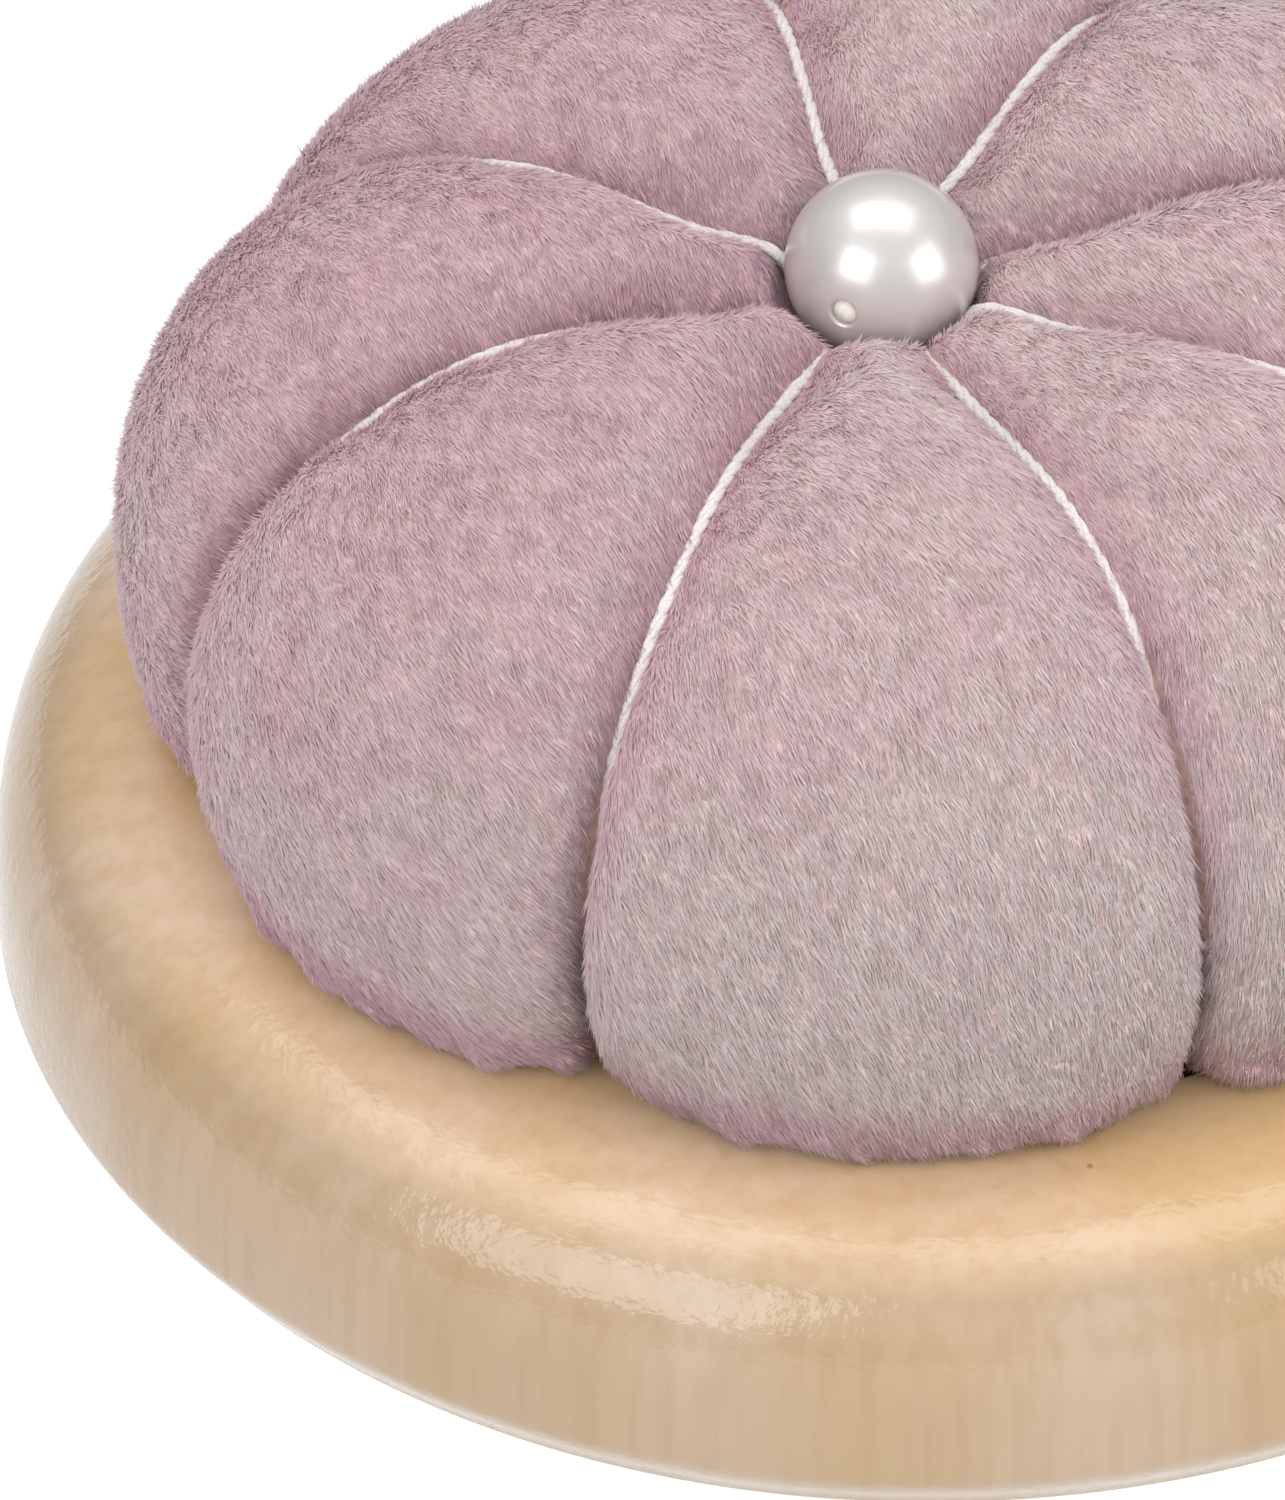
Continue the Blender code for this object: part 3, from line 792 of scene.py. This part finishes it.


# %% [markdown]
# ### Planting
# Geometry nodes plant the tufts at random, as densely as the cover attribute allows, and vary
# their length, width and lightness. Between clumps the tufts are painted darker, a painted shade
# for the light lost there.

# %% Scatter the tufts
TUFT_LENGTH = 0.92 * MM
TUFTS_PER_SQUARE_MM = 54
READ = {"cover": "FLOAT", "direction": "FLOAT_VECTOR", "tint": "FLOAT", "along": "FLOAT",
        "across": "FLOAT", "lightness": "FLOAT"}


def scatter_tree(tuft, seed):
    """Geometry nodes that plant tufts on a mesh by its attributes."""
    tree = bpy.data.node_groups.new("plant_pile", "GeometryNodeTree")
    tree.interface.new_socket("Geometry", in_out="INPUT", socket_type="NodeSocketGeometry")
    tree.interface.new_socket("Geometry", in_out="OUTPUT", socket_type="NodeSocketGeometry")
    read = {}
    for name, kind in READ.items():
        reader = add(tree, "GeometryNodeInputNamedAttribute", {"Name": name}, data_type=kind)
        read[name] = reader.outputs["Attribute"]
    came_in = add(tree, "NodeGroupInput").outputs["Geometry"]
    dense = add(tree, "ShaderNodeMath", {0: read["cover"], 1: TUFTS_PER_SQUARE_MM / MM**2},
                operation="MULTIPLY")
    spots = add(tree, "GeometryNodeDistributePointsOnFaces",
                {"Mesh": came_in, "Density": dense.outputs[0], "Seed": seed})
    clumps = add(tree, "ShaderNodeTexNoise",
                 {"Vector": add(tree, "GeometryNodeInputPosition").outputs[0],
                  "Scale": 1 / CLUMP_SIZE, "Detail": 2.0})
    longer = add(tree, "FunctionNodeRandomValue",
                 {2: 0.7 * TUFT_LENGTH, 3: 1.25 * TUFT_LENGTH, "Seed": seed + 3})
    wider = add(tree, "FunctionNodeRandomValue", {2: 0.6, 3: 1.3, "Seed": seed + 4})
    size = add(tree, "ShaderNodeCombineXYZ", {"X": wider.outputs[1], "Y": wider.outputs[1],
                                              "Z": longer.outputs[1]})
    shape = add(tree, "GeometryNodeObjectInfo", {"Object": tuft}).outputs["Geometry"]
    planted = add(tree, "GeometryNodeInstanceOnPoints",
                  {"Points": spots.outputs["Points"], "Instance": shape, "Scale": size.outputs[0],
                   "Rotation": tuft_rotation(tree, seed, clumps, read["direction"])})
    varied = add(tree, "FunctionNodeRandomValue", {2: -0.2, 3: 0.5, "Seed": seed + 5})
    # Painted shade: tufts between the clumps sit lower on the palette, so they are darker.
    painted_gap_shade = add(tree, "ShaderNodeMapRange", {"Value": clumps.outputs["Fac"], "From Min": 0.32,
                                            "From Max": 0.58, "To Min": 0.0, "To Max": 0.6})
    lightness = add(tree, "ShaderNodeMath", {0: varied.outputs[1], 1: painted_gap_shade.outputs[0]},
                    operation="ADD", use_clamp=True)
    kept = add(tree, "GeometryNodeStoreNamedAttribute",
               {"Geometry": planted.outputs["Instances"], "Name": "lightness",
                "Value": lightness.outputs[0]}, data_type="FLOAT", domain="INSTANCE")
    real = add(tree, "GeometryNodeRealizeInstances", {"Geometry": kept.outputs["Geometry"]})
    mapped = add(tree, "GeometryNodeStoreNamedAttribute",
                 {"Geometry": real.outputs["Geometry"], "Name": "OFBake",
                  "Value": palette_place(tree, read)}, data_type="FLOAT2", domain="CORNER")
    add(tree, "NodeGroupOutput", {"Geometry": mapped.outputs["Geometry"]})
    return tree


def store(mesh, name, values, kind="FLOAT"):
    """Keeps one value, or one vector, per point on the mesh."""
    made = mesh.attributes.new(name, kind, "POINT")
    made.data.foreach_set("vector" if kind == "FLOAT_VECTOR" else "value", values.astype(np.float32).ravel())


# %% [markdown]
# ### Pile material
# The palette runs from dusty mauve to a greyish beige-pink, each from a dark root to a pale tip; the
# dark root is painted shade, for the little light that gets down between the fibres. Rough fibres
# spread light in every direction.

# %% Pile material
def pile_material():
    made, tree, shader = new_material("polyester_plush_pile_mauve")
    spot = add(tree, "ShaderNodeSeparateXYZ",
               {0: add(tree, "ShaderNodeUVMap", uv_map="OFBake").outputs["UV"]})
    # The darkest stops, at the roots, are painted shade.
    mauve = add(tree, "ShaderNodeValToRGB", {"Fac": spot.outputs["Y"]},
                [(0.0, "96707A"), (0.4, "D0A8B4"), (1.0, "E6C9D2")])
    beige = add(tree, "ShaderNodeValToRGB", {"Fac": spot.outputs["Y"]},
                [(0.0, "9C877E"), (0.4, "D8C7C4"), (1.0, "F0E6E4")])
    colour = add(tree, "ShaderNodeMix", {0: spot.outputs["X"], 6: mauve.outputs["Color"],
                                         7: beige.outputs["Color"]}, data_type="RGBA")
    tree.links.new(colour.outputs[2], shader.inputs["Base Color"])
    shader.inputs["Roughness"].default_value = 0.75
    shader.inputs["Specular IOR Level"].default_value = 0.3
    shader.inputs["Sheen Weight"].default_value = 0.25
    shader.inputs["Sheen Roughness"].default_value = 0.5
    return made


# %% [markdown]
# ### Eight pieces of pile
# The pile is planted one lobe at a time, which keeps each piece a manageable size. Tufts at the hem
# that would grow into the wood are laid flat on it instead.

# %% Plant the pile
ABOVE_WOOD = 0.06 * MM
plush = pile_material()
store(smooth_mesh, "direction", direction, "FLOAT_VECTOR")
store(smooth_mesh, "tint", tint)
store(smooth_mesh, "cover", cover)
lobe_of = lobe_index(places)
tuft = tuft_object()
planter = bpy.data.objects.new("planter", smooth_mesh.copy())
bpy.context.scene.collection.objects.link(planter)
for lobe in range(LOBES):
    planter.data.attributes["cover"].data.foreach_set(
        "value", (cover * (lobe_of == lobe)).astype(np.float32))
    scatter = planter.modifiers.new("plant", "NODES")
    scatter.node_group = scatter_tree(tuft, 10 * lobe)
    pile_mesh = evaluated_mesh(planter, f"pile_lobe_{lobe + 1}")
    planter.modifiers.remove(scatter)
    spots = glued_in(mesh_places(pile_mesh))
    over_wood = np.hypot(spots[:, 0], spots[:, 1]) > RECESS_RADIUS
    low = over_wood & (spots[:, 2] < RIM_HEIGHT + ABOVE_WOOD)
    spots[low, 2] = RIM_HEIGHT + ABOVE_WOOD
    set_places(pile_mesh, spots)
    pile = object_from(f"pile_lobe_{lobe + 1}", pile_mesh, plush)
    finished(pile, "cushion_cover")
bpy.data.objects.remove(planter)
bpy.data.objects.remove(tuft)

set_places(smooth_mesh, glued_in(places))
finished(cushion, "cushion_cover", "cushion_cover")

# %% [markdown]
# ## Stuffing
# Under the cover is a ball of loose polyester fibre. It follows the cover a little inside it, with
# the soft lumps that teased fibre makes.

# %% Stuffing
STUFFING_INSET = 1.0 * MM
stuffing_mesh = smooth_mesh.copy()
stuffing_mesh.name = "fibre_stuffing"
inner = mesh_places(stuffing_mesh)
lumps = soft_noise(inner, 4.0 * MM, 6)
set_places(stuffing_mesh, inner - outward * (STUFFING_INSET + 0.3 * MM * (1 + lumps))[:, None])
fleece, shader = mottled("polyester_fibre_fill_white", 0.6 * MM, 5.0,
                         [(0.3, "D9D6D0"), (0.7, "F4F2EE")], 0.95, bump=0.3 * MM, distortion=1.5)
stuffing = object_from("fibre_stuffing", stuffing_mesh, fleece)
finished(stuffing, "stuffing", "stuffing")

# %% [markdown]
# ## The winding thread
# A soft cotton thread goes up through the middle, down along a valley and back underneath, eight
# times. It is three plies twisted together and pressed a little flat by its tension. It shows on
# the pile for a stretch of its valley, and the pile or the fold swallows the rest.

# %% Thread sizes, and how far it is buried
PLY_RADIUS = 0.21 * MM
PLY_ASIDE = 0.14 * MM
PLY_UP = 0.07 * MM
TWIST_LENGTH = 3.0 * MM
THREAD_STEP = 0.24 * MM
GATHER_RADIUS = 4.3 * MM
# How high the thread's middle is over the ground fabric: shown, buried, and round under the hem.
LIFT = 0.5 * MM
BURIED_LIFT = -0.05 * MM
HEM_LIFT = 0.45 * MM
HEM_START, HEM_STOP = 0.62, 0.72
# For each valley, the shares of its path from the bead outwards between which the thread shows.
BURIED_FROM = [0.02, 0.42, 0.42, 0.6, 0.6, 0.56, 0.45, 0.42]
BURIED_UP_TO = [0.0, 0.0, 0.0, 0.0, 0.24, 0.16, 0.16, 0.0]

# %% [markdown]
# Each ply is a helix about the valley's path, drawn as a curve with a round bevel.

# %% Thread plies
def spoke_route():
    """The valley's path as (radius, height) points a short step apart, with normals."""
    path = np.array([p for p in valley if not (p[0] < GATHER_RADIUS and p[1] < WAIST_HEIGHT)])
    steps = np.linalg.norm(np.diff(path, axis=0), axis=1)
    gone = np.concatenate([[0], np.cumsum(steps)])
    stops = np.arange(0, gone[-1], THREAD_STEP)
    even = np.column_stack([np.interp(stops, gone, path[:, 0]), np.interp(stops, gone, path[:, 1])])
    for _ in range(12):
        even[1:-1] = (even[:-2] + 2 * even[1:-1] + even[2:]) / 4
    ahead = unit(np.gradient(even, axis=0))
    normal = np.column_stack([-ahead[:, 1], ahead[:, 0]])
    share = stops / gone[-1]
    return even, normal, share


def lift_along(spoke, share):
    """How high one valley's thread stands over the ground, along its path."""
    start, stop = BURIED_UP_TO[spoke], BURIED_FROM[spoke]
    lift = LIFT + (BURIED_LIFT - LIFT) * smooth_step(stop - 0.1, stop, share)
    lift += (BURIED_LIFT - lift) * (1 - smooth_step(start - 0.05, start, share))
    return lift + (HEM_LIFT - lift) * smooth_step(HEM_START, HEM_STOP, share)


def thread_curve():
    data = bpy.data.curves.new("thread", "CURVE")
    data.dimensions = "3D"
    data.bevel_depth = PLY_RADIUS
    data.bevel_resolution = 1
    data.use_fill_caps = True
    route, normal, share = spoke_route()
    angles = np.arange(len(route)) * THREAD_STEP / TWIST_LENGTH * math.tau
    for spoke, bearing in enumerate(VALLEY_BEARINGS):
        out = np.array([math.cos(bearing), math.sin(bearing), 0])
        side = np.array([-out[1], out[0], 0])
        for ply in range(3):
            turn = angles + ply * math.tau / 3 + spoke
            away = lift_along(spoke, share) + PLY_UP * np.sin(turn)
            section = route + normal * away[:, None]
            points = section[:, :1] * out + (PLY_ASIDE * np.cos(turn))[:, None] * side
            points[:, 2] = section[:, 1]
            weighted = np.column_stack([glued_in(points), np.ones(len(points))])
            spline = data.splines.new("POLY")
            spline.points.add(len(points) - 1)
            spline.points.foreach_set("co", weighted.ravel())
    return bpy.data.objects.new("thread_curve", data)


# %% [markdown]
# ### Cotton thread material
# Cream-white and matt. Fine mottling and bumps stand for the fibres, which are too fine to see one
# by one, and the plies shade the grooves between them.

# %% Cotton material
cotton, shader = mottled("soft_cotton_thread_natural_white", 0.12 * MM, 2.0,
                         [(0.3, "CBC2BD"), (0.6, "DFD9D5")], 0.85, bump=0.05 * MM)
shader.inputs["Sheen Weight"].default_value = 0.3
curve = thread_curve()
bpy.context.scene.collection.objects.link(curve)
thread_mesh = evaluated_mesh(curve, "winding_cotton")
bpy.data.objects.remove(curve)
thread_mesh.shade_smooth()
thread = object_from("winding_cotton", thread_mesh, cotton)
finished(thread, "winding_thread", "winding_thread")

# %% [markdown]
# ## The pearl bead
# An imitation pearl is a drilled plastic ball dipped in a pearly lacquer. Its section, a circle
# with the drill's straight wall and a small rounded lip, is spun about the hole.

# %% Bead
HOLE_RADIUS = 0.6 * MM
HOLE_LIP = 0.2 * MM
HOLE_BEARING = math.radians(248)
HOLE_TILT = math.radians(4)
BEAD_SET_OFF = Vector((-2.05, 0.25, 0.15)) * MM


def bead_section():
    """From the hole's top end, over the outside and back up the hole's wall."""
    edge = math.degrees(math.asin((HOLE_RADIUS + HOLE_LIP) / BEAD_RADIUS))
    outside = arc((0, 0), (BEAD_RADIUS, BEAD_RADIUS), 90 - edge, edge - 90, 64)
    lip_height = outside[0][1] - HOLE_LIP * 0.9
    lip = arc((HOLE_RADIUS + HOLE_LIP, lip_height), (HOLE_LIP, HOLE_LIP * 0.95), 180, 100, 5)
    lower_lip = [(radius, -height) for radius, height in reversed(lip)]
    return lip + outside + lower_lip + [lip[0]]


bead_bm = spun(bead_section(), 96)
hole_way = Vector((math.cos(HOLE_BEARING) * math.cos(HOLE_TILT),
                   math.sin(HOLE_BEARING) * math.cos(HOLE_TILT), math.sin(HOLE_TILT)))
turn_hole = hole_way.to_track_quat("Z", "Y")
bead_place = Vector((0, 0, BEAD_HEIGHT)) + BEAD_SET_OFF
bmesh.ops.transform(bead_bm, verts=bead_bm.verts,
                    matrix=Matrix.Translation(bead_place) @ turn_hole.to_matrix().to_4x4())

# %% [markdown]
# ### Pearl lacquer
# Flakes in the lacquer lie along the surface and mirror softly, so the shader is part metal. A
# clear coat over it gives the small sharp highlights. The edge, where the surface turns away from
# the view, is painted paler: a painted sheen.

# %% Pearl material
pearl, tree, shader = new_material("pearl_lacquer_on_plastic")
cloudy = add(tree, "ShaderNodeTexNoise", {"Scale": 180.0, "Detail": 3.0,
             "Vector": add(tree, "ShaderNodeTexCoord").outputs["Object"]})
milky = add(tree, "ShaderNodeValToRGB", {"Fac": cloudy.outputs["Fac"]},
            [(0.3, "C2BEBB"), (0.7, "CAC6C3")])
# Painted sheen: the colour turns paler where the surface faces away from the view.
facing = add(tree, "ShaderNodeLayerWeight", {"Blend": 0.35})
painted_edge_sheen = add(tree, "ShaderNodeMix", {0: facing.outputs["Facing"], 6: milky.outputs["Color"],
                                   7: linear("DCD2CE")}, data_type="RGBA")
tree.links.new(painted_edge_sheen.outputs[2], shader.inputs["Base Color"])
ripple = add(tree, "ShaderNodeBump",
             {"Height": cloudy.outputs["Fac"], "Strength": 0.1, "Distance": 0.05 * MM})
tree.links.new(ripple.outputs["Normal"], shader.inputs["Normal"])
shader.inputs["Metallic"].default_value = 0.45
shader.inputs["Roughness"].default_value = 0.34
shader.inputs["Coat Weight"].default_value = 1.0
shader.inputs["Coat Roughness"].default_value = 0.15
bead = object_from("pearl", mesh_from("pearl", bead_bm, 40), pearl)
finished(bead, "pearl_bead", "pearl_bead")

# %% [markdown]
# ### Stitch through the bead
# Four passes of nylon thread fill the hole, end in it at the front, and bend down behind the bead,
# from where they go through the cushion to its underside.

# %% Stitch
NYLON_RADIUS = 0.27 * MM
NYLON_SPREAD = 0.24 * MM
LOW_END = Vector((SET_OFF[0], SET_OFF[1], CUSHION_FLOOR + 0.4 * MM))


def stitch_points():
    """From the hole's front end through the bead, round its back and down to the underside."""
    beside = BEAD_RADIUS + NYLON_RADIUS + 0.05 * MM
    ways = [bead_place + hole_way * step for step in np.linspace(BEAD_RADIUS - 0.2 * MM, -beside, 12)]
    for share in np.linspace(0.12, 0.9, 9):
        way = (-hole_way * (1 - share) - Vector((0, 0, 1)) * share).normalized()
        ways.append(bead_place + way * beside)
    bottom = Vector((bead_place.x, bead_place.y, DIMPLE_FLOOR - 1.0 * MM))
    return ways + [bottom.lerp(LOW_END, share) for share in np.linspace(0, 1, 8)]


# %% Nylon strands
nylon_data = bpy.data.curves.new("nylon", "CURVE")
nylon_data.dimensions = "3D"
nylon_data.bevel_depth = NYLON_RADIUS
nylon_data.bevel_resolution = 1
nylon_data.use_fill_caps = True
across_hole = hole_way.cross(Vector((0, 0, 1))).normalized()
up_hole = across_hole.cross(hole_way)
for strand in range(4):
    turn = math.pi / 4 + strand * math.pi / 2
    off = (across_hole * math.cos(turn) + up_hole * math.sin(turn)) * NYLON_SPREAD
    points = [(*(place + off), 1) for place in stitch_points()]
    spline = nylon_data.splines.new("POLY")
    spline.points.add(len(points) - 1)
    spline.points.foreach_set("co", np.array(points).ravel())
nylon_curve = bpy.data.objects.new("nylon_curve", nylon_data)
bpy.context.scene.collection.objects.link(nylon_curve)
nylon_mesh = evaluated_mesh(nylon_curve, "nylon_stitch")
bpy.data.objects.remove(nylon_curve)
nylon_mesh.shade_smooth()
nylon, shader = mottled("nylon_thread_natural", 0.3 * MM, 1.0,
                        [(0.3, "CBC7BE"), (0.7, "D9D5CC")], 0.4)
stitch = object_from("nylon_stitch", nylon_mesh, nylon)
finished(stitch, "bead_stitch", "bead_stitch")

# %% [markdown]
# The thread's end is knotted and pushed into the front of the hole, where it shows as a pale spot.

# %% Knot
KNOT_RADIUS = 0.68 * MM
KNOT_DEPTH = 0.62 * MM
bm = bmesh.new()
bmesh.ops.create_icosphere(bm, subdivisions=4, radius=KNOT_RADIUS)
for point in bm.verts:
    point.co *= 1 + 0.06 * noise.noise(point.co / (0.5 * MM))
bmesh.ops.transform(bm, verts=bm.verts, matrix=Matrix.Translation(
    bead_place + hole_way * (BEAD_RADIUS - KNOT_DEPTH)))
knot = object_from("nylon_knot", mesh_from("nylon_knot", bm), nylon)
finished(knot, "bead_stitch")

# %% [markdown]
# ## Glue and gathering stitch
# Under the cushion lie a disc of hardened glue and the ring of thread that draws the cover's edge
# together. Their solids have the right shapes, so they keep them and get real finishes.

# %% Finishes of the two hidden pieces
glue, shader = mottled("hot_melt_glue_cloudy", 2.5 * MM, 3.0, [(0.3, "DAD2BE"), (0.7, "EBE5D6")],
                       0.35, bump=0.2 * MM)
for node, finish in (("glue_bed", glue), ("gathering_stitch", cotton)):
    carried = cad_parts[node]
    carried.data.materials.clear()
    carried.data.materials.append(finish)
    print(f"{node}: finished in {finish.name}")

# %% [markdown]
# ## Studio
# Plain and bright: a white floor that glows a little, so that it stays white in the shade, and a
# pale surround that is brighter overhead than at the horizon, as under a light tent.

# %% Floor and surround
paper, tree, shader = new_material("white_paper_floor")
shader.inputs["Base Color"].default_value = (0.16, 0.16, 0.16, 1)
shader.inputs["Roughness"].default_value = 0.7
shader.inputs["Emission Color"].default_value = (1, 1, 1, 1)
shader.inputs["Emission Strength"].default_value = 0.9
bm = bmesh.new()
bmesh.ops.create_grid(bm, x_segments=1, y_segments=1, size=3)
floor = object_from("floor", mesh_from("floor", bm), paper)
floor.location.z = -0.05 * MM
floor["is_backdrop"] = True

world = bpy.data.worlds.new("studio")
bpy.context.scene.world = world
world.use_nodes = True
surround = world.node_tree.nodes["Background"]
surround.inputs["Color"].default_value = (0.95, 0.98, 1, 1)
sky_way = add(world.node_tree, "ShaderNodeSeparateXYZ",
              {0: add(world.node_tree, "ShaderNodeTexCoord").outputs["Generated"]})
sky = add(world.node_tree, "ShaderNodeMapRange", {"Value": sky_way.outputs["Z"], "From Min": 0.1,
                                                  "From Max": 0.9, "To Min": 0.32, "To Max": 0.75})
world.node_tree.links.new(sky.outputs[0], surround.inputs["Strength"])


# %% [markdown]
# ### Lights
# A wide softbox overhead and two smaller ones to the right and the left front show on the pearl,
# and the left one on the dish's shoulder too. A front fill opens the shadows and isn't reflected.

# %% Softboxes
SOFTBOX_CENTRE = Vector((0, 0, 20 * MM))


def softbox(name, direction, distance, size, brightness, reflected=True):
    """A rectangular light; its power is its brightness times its area times pi."""
    lamp = bpy.data.lights.new(name, "AREA")
    lamp.shape = "RECTANGLE"
    lamp.size, lamp.size_y = size
    lamp.energy = brightness * size[0] * size[1] * math.pi
    made = bpy.data.objects.new(name, lamp)
    bpy.context.scene.collection.objects.link(made)
    way = Vector(direction).normalized()
    made.location = way * distance + SOFTBOX_CENTRE
    made.rotation_mode = "QUATERNION"
    made.rotation_quaternion = (-way).to_track_quat("-Z", "Y")
    made.visible_glossy = reflected
    print(f"{name}: {lamp.energy:.2f} W")


softbox("top_light", (0, 0.18, 0.98), 0.5, (0.60, 0.34), 1.75)
softbox("right_light", (0.83, -0.40, 0.37), 0.5, (0.34, 0.34), 2.6)
softbox("left_light", (-0.48, -0.68, 0.55), 0.5, (0.34, 0.30), 3.2)
softbox("front_fill", (0.25, -0.78, 0.57), 0.6, (0.50, 0.35), 2.7, reflected=False)
bpy.context.scene.view_settings.view_transform = "Standard"

# %% Sizes and end
low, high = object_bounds()
